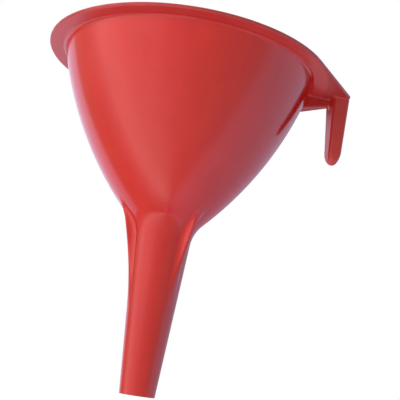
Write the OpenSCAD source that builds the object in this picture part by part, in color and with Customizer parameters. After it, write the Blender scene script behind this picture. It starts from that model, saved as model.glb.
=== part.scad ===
// Hand funnel with a hanging hook and three spacer fins on its neck.
// The wall is one curve turned about the Z axis: a tapered stem, a hollow neck
// fillet, a bulging bowl and a flat rim flange. Each moulded feature is a node,
// and neighbouring nodes meet face to face.
// Millimetres. +Z is up, the outlet's end face is at z = 0, the hook lies on +X.

/* [Overall] */
// Height from the outlet's end face to the top of the rim
total_h = 186; // [170:1:210]
// Thickness of the bowl, neck and stem wall
wall_t = 1.8; // [1.2:0.1:2.4]

/* [Rim] */
// Outer radius of the rim flange
rim_r = 80; // [77:0.5:86]
// Thickness of the rim flange and of the hook tab
rim_t = 2; // [1.5:0.1:3]
// Radius of the fillets where the bowl runs into the flange
rim_fillet_r = 2; // [1:0.1:3]

/* [Bowl] */
// Outer radius where the bowl would meet the flange's underside
bowl_top_r = 71; // [68:0.5:73]
// Radius of the bowl's bulging side
bowl_arc_r = 205; // [190:1:260]
// Lean of the bowl's side from the vertical at its top, in degrees
bowl_top_lean = 15; // [13:0.1:20]

/* [Stem and neck] */
// Outer radius of the outlet
outlet_r = 9.5; // [7:0.1:11]
// Lean of the stem's side from the vertical, in degrees
stem_lean = 4.3; // [2:0.1:5]
// Length of the plain end of the stem that enters a filler opening first
outlet_h = 12; // [6:1:30]
// Radius of the fillet between the stem and the bowl
neck_fillet_r = 20.5; // [12:0.5:30]

/* [Spacer fins] */
// Height where each fin starts on the stem
fin_bottom_z = 62; // [40:0.5:68]
// Height where each fin ends on the bowl
fin_top_z = 98.5; // [96:0.5:104]
// Thickness of each fin
fin_t = 1.8; // [1.2:0.1:3]
// Turn of the three fins about the axis, away from the hook's plane, in degrees
fin_turn = 9; // [0:1:20]

/* [Hook] */
// Distance from the axis to the outer face of the hook finger
hook_reach = 95.3; // [93:0.1:98]
// Angle from the hook's centre line to where the tab's edge leaves the rim
tab_spread = 38; // [34:1:42]
// Radius of the tab's outer corners
tab_corner_r = 2.5; // [1:0.5:5]
// Thickness of the finger across the hook at its root
finger_root_t = 9.6; // [7:0.1:11]
// Thickness of the finger across the hook near its tip
finger_tip_t = 7.9; // [6:0.1:9]
// Width of the finger along the rim at its root
finger_root_w = 16; // [12:0.5:18]
// Width of the finger along the rim near its tip
finger_tip_w = 10; // [8:0.5:12]
// Depth of the finger's tip below the top of the rim
finger_drop = 42.5; // [30:0.5:60]
// Length of the finger's tapering point, and the radius at its end
finger_point_l = 10; // [6:0.5:12]
finger_point_r = 2.4; // [1.5:0.1:2.9]
// Thickness of the web under the tab
web_t = 2.4; // [1.6:0.1:4]
// Depth of the web below the top of the rim, at the bowl and at the finger
web_drop = [11.9, 6.1];
// Radius between the web's lower edge and the finger
web_fillet_r = 3; // [1:0.5:5]

/* [Hidden] */

$fn = 128;
arc_steps = 10;
bowl_steps = 28;
plastic = [0.82, 0.16, 0.14];
rim_under_z = total_h - rim_t;
far = rim_r * 2;

// The three circle centres that shape the wall, as [radius, height].
stem_out = [cos(stem_lean), -sin(stem_lean)];
stem_up = [sin(stem_lean), cos(stem_lean)];
bowl_centre = [
    bowl_top_r - bowl_arc_r * cos(bowl_top_lean),
    rim_under_z + bowl_arc_r * sin(bowl_top_lean)
];
neck_start = [outlet_r, 0] + neck_fillet_r * stem_out;
neck_gap = neck_start - bowl_centre;
neck_reach = bowl_arc_r + neck_fillet_r;
neck_slide = neck_gap * stem_up;
neck_travel = -neck_slide - sqrt(pow(neck_slide, 2) - neck_gap * neck_gap + pow(neck_reach, 2));
neck_centre = neck_start + neck_travel * stem_up;
neck_low_angle = 180 - stem_lean;
neck_high_angle = angle_of(bowl_centre - neck_centre);

// Heights of the flat cuts between the turned nodes.
neck_low_z = (neck_centre - neck_fillet_r * stem_out)[1];
neck_high_z = neck_centre[1] + neck_fillet_r * sin(neck_high_angle);
bowl_high_z = rim_under_z - 2 * rim_fillet_r;
bowl_mid_z = (neck_high_z + bowl_high_z) / 2;

// The hook's upright faces.
finger_root_x = hook_reach - finger_root_t;
finger_tip_z = total_h - finger_drop;
finger_lean = 0.3;
tip_half_t = finger_tip_t / 2;

function angle_of(v) = atan2(v[1], v[0]);

// Points along a circle from one angle to another.
function arc(centre, r, from, to, steps) =
    [for (i = [0:steps]) centre + r * unit(from + (to - from) * i / steps)];

function unit(angle) = [cos(angle), sin(angle)];

// Centre of a small circle that touches the bowl's side and a level line.
function rim_fillet_centre(side_r, level) =
    [bowl_centre[0] + sqrt(pow(side_r + rim_fillet_r, 2) - pow(bowl_centre[1] - level, 2)), level];

// The stem, neck and bowl side, from the outlet up, set inwards by a depth.
function side(depth, high_angle) = concat(
    [[outlet_r - depth / cos(stem_lean), 0]],
    arc(neck_centre, neck_fillet_r + depth, neck_low_angle, neck_high_angle, arc_steps),
    arc(bowl_centre, bowl_arc_r - depth, neck_high_angle - 180, high_angle, bowl_steps)
);

// One side of the wall with the fillet that runs into the flange at a level.
function side_with_rim(depth, level) =
    let (
        centre = rim_fillet_centre(bowl_arc_r - depth, level),
        touch = angle_of(bowl_centre - centre)
    )
    concat(side(depth, touch - 180), arc(centre, rim_fillet_r, touch, 90, arc_steps));

function reversed(points) = [for (i = [len(points) - 1:-1:0]) points[i]];

outer_side = side_with_rim(0, rim_under_z - rim_fillet_r);
inner_side = side_with_rim(wall_t, total_h - rim_fillet_r);

// Section of the whole wall, from the axis outwards.
module wall_section() {
    polygon(concat(
        outer_side,
        [[rim_r, rim_under_z], [rim_r, total_h]],
        reversed(inner_side)
    ));
}

// The turned wall between two heights.
module wall_between(low_z, high_z) {
    rotate_extrude()
        intersection() {
            wall_section();
            translate([0, low_z]) square([far, high_z - low_z]);
        }
}

// Half section of everything inside the wall's outer face.
module filled_section() {
    polygon(concat(outer_side, [[rim_r, rim_under_z], [0, rim_under_z], [0, 0]]));
}

module stem_outlet() {
    color(plastic) wall_between(0, outlet_h);
}

module stem() {
    color(plastic) wall_between(outlet_h, neck_low_z);
}

module neck() {
    color(plastic) wall_between(neck_low_z, neck_high_z);
}

module lower_bowl() {
    color(plastic) wall_between(neck_high_z, bowl_mid_z);
}

module upper_bowl() {
    color(plastic) wall_between(bowl_mid_z, bowl_high_z);
}

module rim_flange() {
    color(plastic) wall_between(bowl_high_z, total_h);
}

// A straight-edged plate in the plane of the axis, trimmed to the neck.
module neck_fin(angle) {
    stem_r = outlet_r + fin_bottom_z * tan(stem_lean);
    rise = bowl_centre[1] - fin_top_z;
    bowl_r = bowl_centre[0] + sqrt(pow(bowl_arc_r, 2) - pow(rise, 2));
    color(plastic)
        difference() {
            rotate([90, 0, angle])
                translate([0, 0, -fin_t / 2])
                    linear_extrude(fin_t)
                        polygon([
                            [outlet_r, fin_bottom_z],
                            [stem_r, fin_bottom_z],
                            [bowl_r, fin_top_z],
                            [outlet_r, fin_top_z]
                        ]);
            rotate_extrude() filled_section();
        }
}

module rear_neck_fin() {
    neck_fin(180 + fin_turn);
}

module left_neck_fin() {
    neck_fin(60 + fin_turn);
}

module right_neck_fin() {
    neck_fin(fin_turn - 60);
}

// Half width of the tab at a distance from the axis.
function tab_half_w(x) = (rim_r - x * cos(tab_spread)) / sin(tab_spread);

// Rounded outer corner of the tab, on the left of the hook's centre line.
function tab_corner() =
    let (
        x = hook_reach - tab_corner_r,
        y = tab_half_w(x) - tab_corner_r / sin(tab_spread)
    )
    arc([x, y], tab_corner_r, tab_spread, 0, arc_steps);

module hook_tab() {
    left_edge = concat([rim_r * unit(tab_spread)], tab_corner());
    right_edge = [for (point = reversed(left_edge)) [point[0], -point[1]]];
    color(plastic)
        translate([0, 0, rim_under_z])
            linear_extrude(rim_t)
                difference() {
                    polygon(concat([[0, 0]], reversed(concat(left_edge, right_edge))));
                    circle(r = rim_r);
                }
}

// Side view of the web, trimmed to the bowl in its own plane.
module web_side() {
    bowl_edge = [bowl_top_r - rim_fillet_r * 3, total_h - web_drop[0]];
    corner = [finger_root_x, total_h - web_drop[1]] - web_fillet_r * [1, 1];
    difference() {
        polygon(concat(
            [[bowl_edge[0], rim_under_z], bowl_edge],
            arc(corner, web_fillet_r, 90, 0, arc_steps),
            [[finger_root_x, rim_under_z]]
        ));
        filled_section();
    }
}

// Upright plate between the bowl and the finger, under the tab.
module hook_web() {
    color(plastic)
        rotate([90, 0, 0])
            translate([0, 0, -web_t / 2])
                linear_extrude(web_t) web_side();
}

// The finger's point: two long shoulder arcs that run into a small round end.
function point_outline(middle, half) =
    let (
        depth = finger_point_l - finger_point_r,
        spread = pow(half, 2) + pow(depth, 2) - pow(finger_point_r, 2),
        shoulder_r = spread / (2 * (half - finger_point_r)),
        turn = asin(depth / (shoulder_r - finger_point_r)),
        high = finger_tip_z + finger_point_l,
        offset = shoulder_r - half
    )
    concat(
        arc([middle + offset, high], shoulder_r, 180, 180 + turn, arc_steps),
        arc([middle, finger_tip_z + finger_point_r], finger_point_r,
            180 + turn, 360 - turn, arc_steps),
        arc([middle - offset, high], shoulder_r, -turn, 0, arc_steps)
    );

// Side view of the finger: a slim bar with a point.
module finger_side() {
    polygon(concat(
        [[finger_root_x, rim_under_z]],
        point_outline(hook_reach - finger_lean - tip_half_t, tip_half_t),
        [[hook_reach, rim_under_z]]
    ));
}

// Front view of the finger: wide at the root and narrow at the point.
module finger_front() {
    polygon(concat(
        [[-finger_root_w / 2, rim_under_z]],
        point_outline(0, finger_tip_w / 2),
        [[finger_root_w / 2, rim_under_z]]
    ));
}

module hook_finger() {
    color(plastic)
        intersection() {
            translate([0, finger_root_w / 2, 0])
                rotate([90, 0, 0])
                    linear_extrude(finger_root_w) finger_side();
            rotate([90, 0, 90])
                linear_extrude(far) finger_front();
        }
}

stem_outlet();
stem();
neck();
lower_bowl();
upper_bowl();
rim_flange();
rear_neck_fin();
left_neck_fin();
right_neck_fin();
hook_tab();
hook_web();
hook_finger();
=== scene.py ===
import math

import bpy
import numpy as np
from mathutils import Matrix, Vector


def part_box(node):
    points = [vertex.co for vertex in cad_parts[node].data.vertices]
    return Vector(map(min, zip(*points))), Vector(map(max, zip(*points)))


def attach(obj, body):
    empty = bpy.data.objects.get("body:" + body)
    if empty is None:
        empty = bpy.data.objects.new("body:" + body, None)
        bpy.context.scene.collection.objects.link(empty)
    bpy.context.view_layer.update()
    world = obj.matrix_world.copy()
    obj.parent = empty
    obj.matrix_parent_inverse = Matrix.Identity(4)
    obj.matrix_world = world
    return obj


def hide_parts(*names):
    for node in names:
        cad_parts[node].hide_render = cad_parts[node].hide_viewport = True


# Looks of a one-piece moulded hand funnel. Shapes are worked out in millimetres in the CAD
# frame (+Z up, hook on +X, origin at the outlet) and turned into metres when a mesh is made.
# The turned wall is lofted ring by ring. The fins and the hook are blended into it by signed
# distances, so that every joint has the soft root of a moulding.

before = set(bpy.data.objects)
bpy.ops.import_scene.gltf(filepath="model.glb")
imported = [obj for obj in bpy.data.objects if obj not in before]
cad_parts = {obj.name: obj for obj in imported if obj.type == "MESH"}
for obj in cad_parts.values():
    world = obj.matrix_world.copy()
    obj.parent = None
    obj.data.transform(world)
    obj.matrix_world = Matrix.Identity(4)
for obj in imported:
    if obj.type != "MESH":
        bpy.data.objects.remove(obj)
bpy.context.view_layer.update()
MM = 0.001

# ---- Driving sizes, in millimetres and degrees ----
# The turned wall.
TOTAL_H = round(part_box("rim_flange")[1].z / MM, 1)
OUTLET_H = round(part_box("stem_outlet")[1].z / MM, 1)
OUTLET_R = 9.5
OUTLET_EDGE_R = 0.35
STEM_LEAN = 4.3
NECK_FILLET_R = 20.5
BOWL_TOP_R = 71.0
BOWL_ARC_R = 205.0
BOWL_TOP_LEAN = 15.0
WALL_T = 1.8
# The rim.
RIM_R = 80.0
RIM_T = 2.0
RIM_FILLET_R = 2.0
RIM_EDGE_R = 0.9
RIM_UNDER_Z = TOTAL_H - RIM_T
# The spacer fins, each turned about the axis from +X.
FIN_BOTTOM_Z = 62.0
FIN_TOP_Z = 98.5
FIN_T = 1.8
FIN_EDGE_R = 0.7
FIN_TURN = 9.0
FIN_SIDES = (("rear", 180), ("left", 60), ("right", -60))
# The hook's tab, in line with the rim.
HOOK_REACH = 95.3
TAB_SPREAD = 38.0
TAB_CORNER_R = 2.5
# The hook's finger. The inset keeps its outer face inside the tab's edge.
FINGER_INSET = 0.05
FINGER_ROOT_T = 9.5
FINGER_TIP_T = 7.9
FINGER_ROOT_W = 16.0
FINGER_TIP_W = 10.0
FINGER_EDGE_R = 1.8
FINGER_DROP = 42.5
FINGER_POINT_L = 10.0
FINGER_LEAN = 0.3
# The hook's web, from the bowl to the finger. The drops are below the rim's top.
WEB_T = 2.4
WEB_EDGE_R = 0.7
WEB_DROP_AT_BOWL = 11.9
WEB_DROP_AT_FINGER = 6.1
WEB_START_R = BOWL_TOP_R - 3 * RIM_FILLET_R
WEB_ROOT_R = 2.5
# The soft roots of the fins and the hook, and how far a root is sunk into the wall.
FIN_JOINT_R = 4.0
HOOK_JOINT_R = 1.2
JOINT_DEPTH = 1.1

# ---- Mesh density: degrees, numbers of steps, and the net's step in millimetres ----
RING_STEP_DEG = 1.9
TAB_SIDE_STEPS = 14
TAB_CORNER_STEPS = 8
TAB_END_STEPS = 8
OUTLET_ROWS = 3
OUTLET_EDGE_ROWS = 4
STEM_ROWS = 12
NECK_ROWS = 12
BOWL_ROWS = 18
UNDER_RIM_ROWS = 3
INSIDE_RIM_ROWS = 4
FLANGE_ROWS = 4
FILLET_ROWS = 8
RIM_EDGE_ROWS = 5
NET_STEP = 0.4
SETTLE_ROUNDS = 4
SLOPE_STEP = 0.01
LEAST_SLOPE_SQUARED = 0.25

# ---- Boxes of space, in millimetres, round a fin on +X and round the hook ----
FIN_SPACE = ((7, -4, FIN_BOTTOM_Z - 16), (30, 4, FIN_TOP_Z + 8))
HOOK_SPACE_Y = FINGER_ROOT_W / 2 + 2
HOOK_SPACE = (
    (BOWL_TOP_R - 8, -HOOK_SPACE_Y, TOTAL_H - FINGER_DROP - 1),
    (HOOK_REACH + 1, HOOK_SPACE_Y, TOTAL_H + 1),
)


# ---- Plane geometry of the turned wall, as (radius, height) ----
def unit(degrees):
    return np.array([math.cos(math.radians(degrees)), math.sin(math.radians(degrees))])


def angle_of(v):
    return math.degrees(math.atan2(v[1], v[0]))


STEM_OUT = unit(-STEM_LEAN)
STEM_UP = unit(90 - STEM_LEAN)
BOWL_CENTRE = np.array([BOWL_TOP_R, RIM_UNDER_Z]) - BOWL_ARC_R * unit(-BOWL_TOP_LEAN)


def neck_centre():
    """Centre of the neck fillet, which touches the stem's line and the bowl's circle."""
    start = np.array([OUTLET_R, 0.0]) + NECK_FILLET_R * STEM_OUT
    gap = start - BOWL_CENTRE
    slide = gap @ STEM_UP
    reach = BOWL_ARC_R + NECK_FILLET_R
    return start - (slide + math.sqrt(slide**2 - gap @ gap + reach**2)) * STEM_UP


def rim_fillet_centre(side_r, level):
    """Centre of the small circle that touches the bowl's side and a level line."""
    reach = side_r + RIM_FILLET_R
    rise = BOWL_CENTRE[1] - level
    return np.array([BOWL_CENTRE[0] + math.sqrt(reach**2 - rise**2), level])


NECK_CENTRE = neck_centre()
NECK_LOW_ANGLE = 180 - STEM_LEAN
NECK_HIGH_ANGLE = angle_of(BOWL_CENTRE - NECK_CENTRE)
NECK_LOW_Z = (NECK_CENTRE + NECK_FILLET_R * unit(NECK_LOW_ANGLE))[1]
NECK_HIGH_Z = (NECK_CENTRE + NECK_FILLET_R * unit(NECK_HIGH_ANGLE))[1]
UNDER_FILLET_CENTRE = rim_fillet_centre(BOWL_ARC_R, RIM_UNDER_Z - RIM_FILLET_R)
UNDER_FILLET_ANGLE = angle_of(BOWL_CENTRE - UNDER_FILLET_CENTRE)
LIP_CENTRE = rim_fillet_centre(BOWL_ARC_R - WALL_T, TOTAL_H - RIM_FILLET_R)
LIP_ANGLE = angle_of(BOWL_CENTRE - LIP_CENTRE)
BOWL_HIGH_Z = RIM_UNDER_Z - 2 * RIM_FILLET_R
BOWL_MID_Z = (NECK_HIGH_Z + BOWL_HIGH_Z) / 2


def side_at(z, depth):
    """Point on the wall's side at a height, set inwards by depth, and its outward normal."""
    if z < NECK_LOW_Z:
        r = OUTLET_R - depth / STEM_OUT[0] + z * STEM_UP[0] / STEM_UP[1]
        return np.array([r, z]), STEM_OUT
    if z < NECK_HIGH_Z:
        reach = NECK_FILLET_R + depth
        point = np.array([NECK_CENTRE[0] - math.sqrt(reach**2 - (NECK_CENTRE[1] - z) ** 2), z])
        return point, (NECK_CENTRE - point) / reach
    reach = BOWL_ARC_R - depth
    point = np.array([BOWL_CENTRE[0] + math.sqrt(reach**2 - (BOWL_CENTRE[1] - z) ** 2), z])
    return point, (point - BOWL_CENTRE) / reach


# ---- The rim's outline, which gives every ring its angles ----
def rim_outline():
    """Points and outward normals round the rim and the tab, in plan."""
    points, normals = [], []

    def add_arc(centre, r, start, end, steps):
        for a in np.linspace(start, end, steps, endpoint=False):
            points.append(centre + r * unit(a))
            normals.append(unit(a))

    def add_line(start, end, normal, steps):
        for t in np.linspace(0, 1, steps, endpoint=False):
            points.append(start + (end - start) * t)
            normals.append(normal)

    centre_x = HOOK_REACH - TAB_CORNER_R
    spread = math.radians(TAB_SPREAD)
    edge_y = (RIM_R - centre_x * math.cos(spread)) / math.sin(spread)
    left = np.array([centre_x, edge_y - TAB_CORNER_R / math.sin(spread)])
    right = left * (1, -1)
    turn = 360 - 2 * TAB_SPREAD
    leave, meet = unit(TAB_SPREAD), unit(-TAB_SPREAD)
    add_arc(np.zeros(2), RIM_R, TAB_SPREAD, TAB_SPREAD + turn, round(turn / RING_STEP_DEG))
    add_line(RIM_R * meet, right + TAB_CORNER_R * meet, meet, TAB_SIDE_STEPS)
    add_arc(right, TAB_CORNER_R, -TAB_SPREAD, 0, TAB_CORNER_STEPS)
    add_line(right + (TAB_CORNER_R, 0), left + (TAB_CORNER_R, 0), unit(0), TAB_END_STEPS)
    add_arc(left, TAB_CORNER_R, 0, TAB_SPREAD, TAB_CORNER_STEPS)
    add_line(left + TAB_CORNER_R * leave, RIM_R * leave, leave, TAB_SIDE_STEPS)
    return np.array(points), np.array(normals)


EDGE_XY, EDGE_OUT = rim_outline()
RADIAL = EDGE_XY / np.linalg.norm(EDGE_XY, axis=1)[:, None]


# ---- Runs of rings: (points, normals), each of shape (rows, ring, 3) ----
def turned(section, normals):
    """A run of rings from section points and normals given as (radius, height)."""
    def spin(rz):
        level = np.broadcast_to(rz[:, None, 1:], (len(rz), len(RADIAL), 1))
        return np.concatenate([rz[:, None, :1] * RADIAL, level], axis=2)

    return spin(np.array(section)), spin(np.array(normals))


def side_run(start_z, end_z, steps, depth=0.0):
    """The wall's outer side, or its inner side where a depth is given."""
    pairs = [side_at(z, depth) for z in np.linspace(start_z, end_z, steps + 1)]
    facing = -1 if depth else 1
    return turned([p for p, _ in pairs], [facing * n for _, n in pairs])


def arc_run(centre, r, start, end, steps, facing=1):
    """A round stretch: facing 1 bulges away from its centre, -1 is hollow."""
    rays = [unit(a) for a in np.linspace(start, end, steps + 1)]
    return turned([centre + r * ray for ray in rays], [facing * ray for ray in rays])


def rim_edge_run(level, start, end, steps):
    """A rounded stretch of the rim's outer edge, which follows the outline."""
    heart = EDGE_XY - RIM_EDGE_R * EDGE_OUT
    points, normals = [], []
    for a in np.linspace(start, end, steps + 1):
        out, up = unit(a)
        normal = np.column_stack([out * EDGE_OUT, np.full(len(heart), up)])
        points.append(np.column_stack([heart, np.full(len(heart), level)]) + RIM_EDGE_R * normal)
        normals.append(normal)
    return np.array(points), np.array(normals)


def bridge(run, next_run, steps):
    """Straight rows from the last ring of one run to the first ring of the next."""
    start, end = run[0][-1], next_run[0][0]
    shares = np.linspace(0, 1, steps + 1)[:, None, None]
    normals = np.broadcast_to(run[1][-1], (steps + 1, *start.shape))
    return start + (end - start) * shares, normals


def level_cut(run, next_run, facing):
    """A flat end between two runs, which faces up (1) or down (-1)."""
    points, _ = bridge(run, next_run, 1)
    return points, np.broadcast_to(np.array([0.0, 0.0, facing]), points.shape)


# ---- Making meshes ----
def make_piece(name, points, faces, loop_normals, replaced):
    """A mesh object in the frame that stands for CAD nodes. Points are in millimetres."""
    mesh = bpy.data.meshes.new(name)
    mesh.from_pydata((points * MM).tolist(), [], faces.tolist())
    mesh.polygons.foreach_set("use_smooth", [True] * len(mesh.polygons))
    mesh.normals_split_custom_set(loop_normals.tolist())
    mesh.update()
    piece = bpy.data.objects.new(name, mesh)
    bpy.context.scene.collection.objects.link(piece)
    piece.data.materials.append(PLASTIC)
    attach(piece, "root")
    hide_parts(*replaced)
    return piece


def loft(name, runs, replaced):
    """A closed ring-shaped piece. Each run starts on the ring where the last one ended."""
    ring = len(RADIAL)
    rows = np.concatenate([points[:-1] for points, _ in runs])
    first = np.concatenate([normals[:-1] for _, normals in runs])
    second = np.concatenate([normals[1:] for _, normals in runs])
    row, column = np.meshgrid(np.arange(len(rows)), np.arange(ring), indexing="ij")
    next_row, next_column = (row + 1) % len(rows), (column + 1) % ring
    faces = np.stack(
        [row * ring + column, row * ring + next_column,
         next_row * ring + next_column, next_row * ring + column],
        axis=-1,
    ).reshape(-1, 4)
    normals = np.stack(
        [first, np.roll(first, -1, axis=1), np.roll(second, -1, axis=1), second], axis=2
    )
    return make_piece(name, rows.reshape(-1, 3), faces, normals.reshape(-1, 3), replaced)


def wall_band(name, low_z, high_z, steps, replaced):
    """A closed band of the turned wall between two level cuts."""
    outer = side_run(low_z, high_z, steps)
    inner = side_run(high_z, low_z, steps, WALL_T)
    runs = [outer, level_cut(outer, inner, 1), inner, level_cut(inner, outer, -1)]
    return loft(name, runs, replaced)


def outlet_end():
    """The stem's plain end, with a softly rounded square cut."""
    e = OUTLET_EDGE_R
    outer_z, inner_z = e * (1 + STEM_OUT[1]), e * (1 - STEM_OUT[1])
    outer_heart = side_at(outer_z, 0)[0] - e * STEM_OUT
    inner_heart = side_at(inner_z, WALL_T)[0] + e * STEM_OUT
    outer = side_run(outer_z, OUTLET_H, OUTLET_ROWS)
    inner = side_run(OUTLET_H, inner_z, OUTLET_ROWS, WALL_T)
    inner_edge = arc_run(inner_heart, e, NECK_LOW_ANGLE, 270, OUTLET_EDGE_ROWS)
    outer_edge = arc_run(outer_heart, e, -90, -STEM_LEAN, OUTLET_EDGE_ROWS)
    runs = [outer, level_cut(outer, inner, 1), inner, inner_edge]
    runs += [level_cut(inner_edge, outer_edge, -1), outer_edge]
    return loft("outlet_end", runs, ["stem_outlet"])


def rim_and_tab():
    """The flat flange with its fillets and the hook's tab, in one loft."""
    under_touch_z = (UNDER_FILLET_CENTRE + RIM_FILLET_R * unit(UNDER_FILLET_ANGLE))[1]
    lip_touch_z = (LIP_CENTRE + RIM_FILLET_R * unit(LIP_ANGLE))[1]
    outer = side_run(BOWL_HIGH_Z, under_touch_z, UNDER_RIM_ROWS)
    under = arc_run(UNDER_FILLET_CENTRE, RIM_FILLET_R, UNDER_FILLET_ANGLE, 90, FILLET_ROWS, -1)
    low_edge = rim_edge_run(RIM_UNDER_Z + RIM_EDGE_R, -90, 0, RIM_EDGE_ROWS)
    high_edge = rim_edge_run(TOTAL_H - RIM_EDGE_R, 0, 90, RIM_EDGE_ROWS)
    lip = arc_run(LIP_CENTRE, RIM_FILLET_R, 90, LIP_ANGLE, FILLET_ROWS)
    inner = side_run(lip_touch_z, BOWL_HIGH_Z, INSIDE_RIM_ROWS, WALL_T)
    runs = [
        outer, under, bridge(under, low_edge, FLANGE_ROWS),
        low_edge, bridge(low_edge, high_edge, 1), high_edge,
        bridge(high_edge, lip, FLANGE_ROWS), lip, inner, level_cut(inner, outer, -1),
    ]
    return loft("rim_and_hook_tab", runs, ["rim_flange", "hook_tab"])


# ---- Signed distances, below zero inside. Points are (..., 3) in millimetres ----
def smooth_union(a, b, r):
    """Two solids as one, with a fillet in the corner between them."""
    near = np.maximum(r - np.abs(a - b), 0) / r
    return np.minimum(a, b) - near**2 * r / 4


def rounded_overlap(a, b, r):
    """The overlap of two solids, with the edge between them rounded."""
    corner = np.hypot(np.maximum(a + r, 0), np.maximum(b + r, 0))
    return corner + np.minimum(np.maximum(a, b) + r, 0) - r


def in_hollow(r, z, centre, low_angle, high_angle, fillet_r, distance):
    """Puts a hollow fillet in place of a distance, where a point faces its arc."""
    angle = np.degrees(np.arctan2(z - centre[1], r - centre[0]))
    faces_arc = (angle > low_angle) & (angle < high_angle)
    return np.where(faces_arc, fillet_r - np.hypot(r - centre[0], z - centre[1]), distance)


def wall_distance(p):
    """Distance outside the turned wall's outer face."""
    r, z = np.hypot(p[..., 0], p[..., 1]), p[..., 2]
    stem = (r - OUTLET_R) * STEM_OUT[0] + z * STEM_OUT[1]
    bowl = np.hypot(r - BOWL_CENTRE[0], z - BOWL_CENTRE[1]) - BOWL_ARC_R
    plain = np.minimum(stem, bowl)
    return in_hollow(r, z, NECK_CENTRE, NECK_HIGH_ANGLE, NECK_LOW_ANGLE, NECK_FILLET_R, plain)


def wall_and_tab_distance(p):
    """Distance outside the bowl, the flange and the tab, near the hook's middle."""
    x, z = p[..., 0], p[..., 2]
    flat_x = np.maximum(x - HOOK_REACH + RIM_EDGE_R + HOOK_JOINT_R, -RIM_T)
    flat_z = np.abs(z - TOTAL_H + RIM_T / 2) - RIM_T / 2 + RIM_EDGE_R
    tab = np.hypot(np.maximum(flat_x, 0), np.maximum(flat_z, 0))
    tab += np.minimum(np.maximum(flat_x, flat_z), 0) - RIM_EDGE_R
    r = np.hypot(x, p[..., 1])
    plain = np.minimum(wall_distance(p), tab)
    return in_hollow(r, z, UNDER_FILLET_CENTRE, 90, UNDER_FILLET_ANGLE, RIM_FILLET_R, plain)


def right_of_line(u, v, start, end):
    """Distance of (u, v) to the right of a line that runs from start to end."""
    along = np.subtract(end, start) / math.dist(start, end)
    return (u - start[0]) * along[1] - (v - start[1]) * along[0]


def fin_distance(p):
    """A fin on +X: a plate with a straight outer edge."""
    foot, head = side_at(FIN_BOTTOM_Z, 0)[0], side_at(FIN_TOP_Z, 0)[0]
    edge = right_of_line(p[..., 0], p[..., 2], foot, head)
    plate = np.abs(p[..., 1]) - FIN_T / 2
    return rounded_overlap(plate, edge, FIN_EDGE_R)


def tapered_bar(across, z, centre, tip_half, root_half):
    """A bar seen square on: a long round point, then straight sides up to the tab."""
    point_z = TOTAL_H - FINGER_DROP + FINGER_POINT_L
    share = np.clip((z - point_z) / (RIM_UNDER_Z - point_z), 0, 1)
    middle = centre[0] + share * (centre[1] - centre[0])
    half = tip_half + share * (root_half - tip_half)
    below = np.minimum(z - point_z, 0) * tip_half / FINGER_POINT_L
    return np.hypot(across - middle, below) - half


def hook_distance(p):
    """The finger and the web, joined to each other and cut off under the rim."""
    x, y, z = p[..., 0], p[..., 1], p[..., 2]
    face_x = HOOK_REACH - FINGER_INSET
    middles = (face_x - FINGER_LEAN - FINGER_TIP_T / 2, face_x - FINGER_ROOT_T / 2)
    side = tapered_bar(x, z, middles, FINGER_TIP_T / 2, FINGER_ROOT_T / 2)
    front = tapered_bar(y, z, (0, 0), FINGER_TIP_W / 2, FINGER_ROOT_W / 2)
    finger = rounded_overlap(side, front, FINGER_EDGE_R)
    at_bowl = (WEB_START_R, TOTAL_H - WEB_DROP_AT_BOWL)
    at_finger = (face_x - FINGER_ROOT_T, TOTAL_H - WEB_DROP_AT_FINGER)
    under = right_of_line(x, z, at_bowl, at_finger)
    web = rounded_overlap(np.abs(y) - WEB_T / 2, under, WEB_EDGE_R)
    web = np.maximum(web, x - middles[1])
    return np.maximum(smooth_union(finger, web, WEB_ROOT_R), z - RIM_UNDER_Z)


# ---- Meshing a signed distance ----
CELL_CORNERS = ((0, 0), (1, 0), (1, 1), (0, 1))


def surface_net(field, low, high):
    """Points and quads of the surface where the field is zero, on an even grid.

    Each grid edge that the surface crosses gives a quad between the four cells round it. A
    cell's point is the mean of the crossings on its own edges.
    """
    axes = [np.arange(a, b + NET_STEP, NET_STEP) for a, b in zip(low, high)]
    grid = np.stack(np.meshgrid(*axes, indexing="ij"), axis=-1)
    values = field(grid)
    total = np.zeros(grid.shape)
    count = np.zeros(values.shape)
    crossings = []
    for axis in range(3):
        start = np.moveaxis(values, axis, 0)[:-1]
        end = np.moveaxis(values, axis, 0)[1:]
        node = np.argwhere((start < 0) != (end < 0))
        share = start[tuple(node.T)] / (start[tuple(node.T)] - end[tuple(node.T)])
        leaves = start[tuple(node.T)] < 0
        others = [a for a in range(3) if a != axis]
        node = np.insert(node[:, 1:], axis, node[:, 0], axis=1)
        point = grid[tuple(node.T)]
        point[:, axis] += share * NET_STEP
        cells = []
        for corner in CELL_CORNERS:
            cell = node.copy()
            cell[:, others] -= corner
            np.add.at(total, tuple(cell.T), point)
            np.add.at(count, tuple(cell.T), 1)
            cells.append(cell)
        forward = leaves if axis != 1 else ~leaves
        crossings.append((cells, forward))
    used = count > 0
    number = np.cumsum(used).reshape(used.shape) - 1
    quads = []
    for cells, forward in crossings:
        quad = np.stack([number[tuple(cell.T)] for cell in cells], axis=1)
        quads.append(np.where(forward[:, None], quad, quad[:, ::-1]))
    return total[used] / count[used][:, None], np.concatenate(quads)


def slope(field, p):
    """Gradient of a field at points."""
    steps = SLOPE_STEP * np.eye(3)
    sides = [(field(p + step) - field(p - step)) / (2 * SLOPE_STEP) for step in steps]
    return np.stack(sides, axis=-1)


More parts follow.
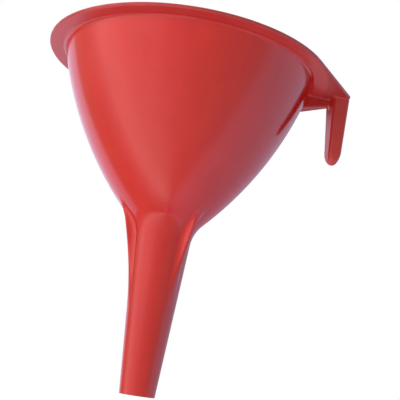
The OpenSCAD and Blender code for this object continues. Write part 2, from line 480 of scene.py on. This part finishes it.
def blended_piece(name, own, neighbour, joint_r, space, turn, replaced):
    """A feature with a fillet where it meets its neighbour, and a root hidden inside it."""
    def blend(p):
        return smooth_union(own(p), neighbour(p), joint_r)

    def solid(p):
        root = np.maximum(-neighbour(p) - JOINT_DEPTH, own(p) - joint_r)
        return np.maximum(blend(p), root)

    points, quads = surface_net(solid, *space)
    for _ in range(SETTLE_ROUNDS):
        rise = slope(solid, points)
        steps = solid(points) / np.maximum((rise**2).sum(axis=1), LEAST_SLOPE_SQUARED)
        points = points - np.clip(steps, -NET_STEP / 2, NET_STEP / 2)[:, None] * rise
    normals = slope(blend, points)
    normals /= np.linalg.norm(normals, axis=1)[:, None]
    spin = np.array(Matrix.Rotation(math.radians(turn), 3, "Z"))
    loop_normals = (normals @ spin.T)[quads].reshape(-1, 3)
    return make_piece(name, points @ spin.T, quads, loop_normals, replaced)


# ---- Material ----
RED_DEEP = (0.63, 0.010, 0.007, 1)
RED_BRIGHT = (0.67, 0.015, 0.010, 1)
RED_SCRATCHED = (0.72, 0.12, 0.1, 1)
# A paler red for the satin rim, the tab and the hook's outer part: partly the satin finish,
# partly a painted sheen.
RED_SATIN_SHEEN = (0.60, 0.075, 0.07, 1)
# A darker red for scuffed grime, and for painted shade along the rim's outer edge.
RED_GRIME_AND_SHADE = (0.3, 0.03, 0.03, 1)
PLASTIC_IOR = 1.51
# Where the surface changes, in metres: from none of it to all of it.
# The satin radii also mark where a sheen is painted. The rim's radii and levels also mark where
# shade is painted along the rim's edge.
SATIN_AND_SHEEN_RADII = (0.0712, 0.0735)
WORN_SHADED_RIM_RADII = (0.0789, 0.0797)
WORN_SHADED_RIM_LEVELS = (0.1835, 0.184)
WORN_DARKENED_END_LEVELS = (0.0007, 0.0001)


class Nodes:
    """Short calls for building a node tree."""

    def __init__(self, tree):
        self.tree = tree
        tree.nodes.clear()

    def add(self, kind, inputs=None, **settings):
        node = self.tree.nodes.new(kind)
        for key, value in settings.items():
            setattr(node, key, value)
        for key, value in (inputs or {}).items():
            self.put(value, node.inputs[key])
        return node

    def put(self, value, socket):
        if isinstance(value, bpy.types.NodeSocket):
            self.tree.links.new(value, socket)
        else:
            socket.default_value = value

    def math(self, operation, a, b=0.0, c=0.0):
        return self.add("ShaderNodeMath", {0: a, 1: b, 2: c}, operation=operation).outputs[0]

    def noise(self, vector, scale, detail=2.0, roughness=0.5):
        inputs = {"Vector": vector, "Scale": scale, "Detail": detail, "Roughness": roughness}
        return self.add("ShaderNodeTexNoise", inputs).outputs["Fac"]

    def ramp(self, value, low, high):
        """Runs smoothly from 0 at low to 1 at high."""
        inputs = {"Value": value, "From Min": low, "From Max": high}
        node = self.add("ShaderNodeMapRange", inputs, interpolation_type="SMOOTHSTEP")
        return node.outputs["Result"]

    def stretched(self, vector, scale):
        node = self.add("ShaderNodeVectorMath", {0: vector, 1: scale}, operation="MULTIPLY")
        return node.outputs[0]

    def off_axis(self, split):
        """Distance from the Z axis of a place that is split into X, Y and Z."""
        squares = [self.math("POWER", split[axis], 2) for axis in (0, 1)]
        return self.math("SQRT", self.math("ADD", *squares))

    def mix(self, share, a, b):
        node = self.add("ShaderNodeMix", data_type="RGBA")
        for socket, value in zip((node.inputs[0], node.inputs[6], node.inputs[7]), (share, a, b)):
            self.put(value, socket)
        return node.outputs[2]


def moulded_plastic():
    """Glossy red polyethylene: flow marks, orange peel, hairlines, satin rim with painted sheen,
    worn edges with painted shade.
    """
    material = bpy.data.materials.new("red_polyethylene")
    material.use_nodes = True
    n = Nodes(material.node_tree)
    where = n.add("ShaderNodeTexCoord").outputs["Object"]
    split = n.add("ShaderNodeSeparateXYZ", {0: where}).outputs
    radius = n.off_axis(split)

    cloud = n.noise(where, 34, 3)
    flow = n.noise(n.stretched(where, (95, 95, 7)), 1, 3)
    peel = n.noise(where, 1100, 2)
    hairline = n.ramp(n.noise(n.stretched(where, (900, 900, 60)), 1, 2, 0.7), 0.6, 0.8)
    patches = n.ramp(n.noise(where, 60, 2), 0.5, 0.62)
    marks = n.math("MULTIPLY", hairline, patches)

    satin_and_sheen = n.ramp(radius, *SATIN_AND_SHEEN_RADII)
    far_out = n.ramp(radius, *WORN_SHADED_RIM_RADII)
    at_rim = n.math("MULTIPLY", far_out, n.ramp(split[2], *WORN_SHADED_RIM_LEVELS))
    at_end = n.ramp(split[2], *WORN_DARKENED_END_LEVELS)
    at_edge = n.math("MAXIMUM", at_rim, at_end)
    scuff = n.math("MULTIPLY", at_edge, n.ramp(n.noise(where, 260, 3, 0.7), 0.4, 0.7))

    hue = n.math("MULTIPLY_ADD", flow, 0.45, n.math("MULTIPLY", cloud, 0.55))
    body = n.mix(n.ramp(hue, 0.36, 0.64), RED_DEEP, RED_BRIGHT)
    scratched = n.mix(n.math("MULTIPLY", marks, 0.05), body, RED_SCRATCHED)
    # Painted sheen: beyond the satin radii the red is paled towards a lighter, greyer red.
    with_sheen = n.mix(n.math("MULTIPLY", satin_and_sheen, 0.5), scratched, RED_SATIN_SHEEN)
    # Painted shade: the rim's outer edge is darkened evenly, and so is the outlet's end. Scuffs
    # there are darker still.
    grime_and_shade = n.math("MULTIPLY_ADD", scuff, 0.2, n.math("MULTIPLY", at_edge, 0.35))
    colour = n.mix(grime_and_shade, with_sheen, RED_GRIME_AND_SHADE)

    rough = n.math("MULTIPLY_ADD", cloud, 0.05, 0.115)
    rough = n.math("MULTIPLY_ADD", marks, 0.06, rough)
    rough = n.math("MULTIPLY_ADD", scuff, 0.15, rough)
    rough = n.math("MULTIPLY_ADD", satin_and_sheen, 0.2, rough)

    height = n.math("MULTIPLY_ADD", peel, 0.1, n.math("MULTIPLY", flow, 0.5))
    height = n.math("MULTIPLY_ADD", scuff, -0.2, height)
    inputs = {"Strength": 0.35, "Distance": 0.00012, "Height": height}
    bump = n.add("ShaderNodeBump", inputs).outputs[0]
    shader = n.add(
        "ShaderNodeBsdfPrincipled",
        {"Base Color": colour, "Roughness": rough, "IOR": PLASTIC_IOR, "Normal": bump},
    )
    n.add("ShaderNodeOutputMaterial", {"Surface": shader.outputs[0]})
    return material


PLASTIC = moulded_plastic()


# ---- The funnel ----
def build_funnel():
    outlet_end()
    wall_band("stem_tube", OUTLET_H, NECK_LOW_Z, STEM_ROWS, ["stem"])
    wall_band("neck_hollow", NECK_LOW_Z, NECK_HIGH_Z, NECK_ROWS, ["neck"])
    wall_band("lower_bowl_wall", NECK_HIGH_Z, BOWL_MID_Z, BOWL_ROWS, ["lower_bowl"])
    wall_band("upper_bowl_wall", BOWL_MID_Z, BOWL_HIGH_Z, BOWL_ROWS, ["upper_bowl"])
    rim_and_tab()
    for side, turn in FIN_SIDES:
        blended_piece(f"{side}_fin", fin_distance, wall_distance, FIN_JOINT_R,
                      FIN_SPACE, turn + FIN_TURN, [f"{side}_neck_fin"])
    blended_piece("hook_finger_and_web", hook_distance, wall_and_tab_distance, HOOK_JOINT_R,
                  HOOK_SPACE, 0, ["hook_finger", "hook_web"])


# ---- Studio, in metres, degrees and watts; the lens and its sensor in millimetres ----
CAMERA_AT = (-0.0537, -0.4433, 0.0115)
CAMERA_HEADING = 9.15
CAMERA_PITCH = 12.38
CAMERA_ROLL = 8.65
CAMERA_LENS = 74.07
CAMERA_SENSOR = 36
# Each lamp: name, azimuth, elevation, distance, size and power.
PANELS = (
    ("key", -48, 8, 1.0, 0.6, 6.4),
    ("overhead", 0, 89, 1.0, 0.8, 4),
)
PANEL_AIM = (0, 0, 0.12)
FLOOR_Z = -0.15
FLOOR_R = 1.1
FLOOR_SIDES = 96
FLOOR_FADE = (0.45, FLOOR_R * 0.98)
FLOOR_PAINT = (0.84, 0.84, 0.85, 1)
FLOOR_GLOW = 0.4
WHITE = (1, 1, 1, 1)


def add_camera():
    """A camera below the rim, looking up at the hook's side, rolled to the right."""
    heading = math.radians(CAMERA_HEADING)
    pitch = math.radians(CAMERA_PITCH)
    roll = math.radians(CAMERA_ROLL)
    level = np.array([math.sin(heading), math.cos(heading), 0])
    ahead = math.cos(pitch) * level + math.sin(pitch) * np.array([0, 0, 1])
    across = np.array([level[1], -level[0], 0])
    above = np.cross(across, ahead)
    right = math.cos(roll) * across + math.sin(roll) * above
    up = -math.sin(roll) * across + math.cos(roll) * above
    pose = Matrix(np.column_stack([right, up, -ahead]).tolist()).to_4x4()
    pose.translation = CAMERA_AT
    data = bpy.data.cameras.new("camera")
    data.lens = CAMERA_LENS
    data.sensor_width = CAMERA_SENSOR
    camera = bpy.data.objects.new("camera", data)
    camera.matrix_world = pose
    bpy.context.scene.collection.objects.link(camera)
    bpy.context.scene.camera = camera


def add_panel(name, azimuth, elevation, distance, size, power):
    """A large soft lamp that faces the bowl and leaves no mirror image in the plastic."""
    a, e = math.radians(azimuth), math.radians(elevation)
    back = Vector((math.sin(a) * math.cos(e), -math.cos(a) * math.cos(e), math.sin(e)))
    data = bpy.data.lights.new(name, "AREA")
    data.size = size
    data.energy = power
    lamp = bpy.data.objects.new(name, data)
    lamp.location = Vector(PANEL_AIM) + back * distance
    lamp.rotation_euler = back.to_track_quat("Z", "Y").to_euler()
    lamp.visible_glossy = False
    lamp.visible_camera = False
    bpy.context.scene.collection.objects.link(lamp)


def add_floor():
    """A pale round floor well below the funnel. It fades out and is not mirrored."""
    rim = [unit(360 * i / FLOOR_SIDES) * FLOOR_R for i in range(FLOOR_SIDES)]
    mesh = bpy.data.meshes.new("floor")
    mesh.from_pydata([(x, y, FLOOR_Z) for x, y in rim], [], [list(range(FLOOR_SIDES))])
    floor = bpy.data.objects.new("floor", mesh)
    floor.visible_glossy = False
    bpy.context.scene.collection.objects.link(floor)
    material = bpy.data.materials.new("pale_floor")
    material.use_nodes = True
    n = Nodes(material.node_tree)
    where = n.add("ShaderNodeTexCoord").outputs["Object"]
    split = n.add("ShaderNodeSeparateXYZ", {0: where}).outputs
    radius = n.off_axis(split)
    paint = n.add("ShaderNodeBsdfDiffuse", {"Color": FLOOR_PAINT})
    glow = n.add("ShaderNodeEmission", {"Color": WHITE, "Strength": FLOOR_GLOW})
    lit = n.add("ShaderNodeAddShader", {0: paint.outputs[0], 1: glow.outputs[0]})
    clear = n.add("ShaderNodeBsdfTransparent")
    fade = n.ramp(radius, *FLOOR_FADE)
    blend = n.add("ShaderNodeMixShader", {0: fade, 1: lit.outputs[0], 2: clear.outputs[0]})
    n.add("ShaderNodeOutputMaterial", {"Surface": blend.outputs[0]})
    mesh.materials.append(material)


# Brightness of the room round the horizon, as (turn, red, green, blue). The turn is 0.25
# towards -Y, 0.5 towards +X, 0.75 towards +Y and 0 or 1 towards -X. The room is brightest
# towards -X, fairly bright towards +X and in a band past +Y, and dim between these.
ROOM = (
    (0.000, 2.12, 2.08, 2.00),
    (0.020, 2.16, 2.12, 2.04),
    (0.036, 1.95, 1.90, 1.86),
    (0.060, 1.78, 1.74, 1.72),
    (0.120, 1.50, 1.47, 1.50),
    (0.165, 1.18, 1.16, 1.17),
    (0.215, 1.02, 1.00, 0.96),
    (0.270, 0.88, 0.86, 0.76),
    (0.380, 0.84, 0.82, 0.80),
    (0.415, 0.92, 0.90, 0.92),
    (0.440, 1.22, 1.20, 1.52),
    (0.490, 1.18, 1.16, 1.50),
    (0.540, 1.04, 1.02, 1.30),
    (0.575, 0.88, 0.86, 1.14),
    (0.620, 0.68, 0.66, 0.94),
    (0.700, 0.42, 0.40, 0.48),
    (0.740, 0.55, 0.53, 0.64),
    (0.765, 1.06, 1.03, 1.32),
    (0.868, 1.20, 1.16, 1.46),
    (0.874, 0.58, 0.56, 0.46),
    (0.910, 0.68, 0.66, 0.56),
    (0.935, 0.88, 0.86, 0.80),
    (0.955, 1.22, 1.19, 1.16),
    (0.972, 1.75, 1.71, 1.66),
    (0.980, 2.12, 2.08, 2.00),
)
# The ramp holds the brightness divided by the peak.
ROOM_PEAK = 2.2
# Below the horizon the room's pattern drifts sideways by this share of the drop.
ROOM_SLANT = 0.35
# Mirrored rays see the room at its full brightness, and all other rays this share of it.
MATT_SHARE = 0.08


def add_surroundings():
    """White behind the funnel for the camera, and a soft room that is mirrored in it."""
    world = bpy.data.worlds.new("studio")
    bpy.context.scene.world = world
    world.use_nodes = True
    n = Nodes(world.node_tree)
    direction = n.add("ShaderNodeTexCoord").outputs["Generated"]
    split = n.add("ShaderNodeSeparateXYZ", {0: direction}).outputs
    slant = n.math("MAXIMUM", n.math("MULTIPLY", split[2], -ROOM_SLANT), 0.0)
    away = n.math("ADD", split[1], slant)
    leaning = n.add("ShaderNodeCombineXYZ", {0: split[0], 1: away, 2: split[2]}).outputs[0]
    turn = n.add("ShaderNodeTexGradient", {"Vector": leaning}, gradient_type="RADIAL")
    ring = n.add("ShaderNodeValToRGB", {"Fac": turn.outputs["Fac"]})
    stops = ring.color_ramp.elements
    stops.remove(stops[1])
    for i, (position, *colour) in enumerate(ROOM):
        stop = stops.new(position) if i else stops[0]
        stop.position = position
        stop.color = (*(part / ROOM_PEAK for part in colour), 1)
    rays = n.add("ShaderNodeLightPath").outputs
    gloss = n.math("MULTIPLY_ADD", rays["Is Glossy Ray"], 1 - MATT_SHARE, MATT_SHARE)
    strength = n.math("MULTIPLY", gloss, ROOM_PEAK)
    lit = n.add("ShaderNodeBackground", {"Color": ring.outputs[0], "Strength": strength})
    seen = n.add("ShaderNodeBackground", {"Color": WHITE, "Strength": 1.0})
    share = rays["Is Camera Ray"]
    both = n.add("ShaderNodeMixShader", {0: share, 1: lit.outputs[0], 2: seen.outputs[0]})
    n.add("ShaderNodeOutputWorld", {"Surface": both.outputs[0]})


def build_studio():
    bpy.context.scene.view_settings.view_transform = "Standard"
    add_camera()
    add_floor()
    add_surroundings()
    for panel in PANELS:
        add_panel(*panel)


build_funnel()
build_studio()
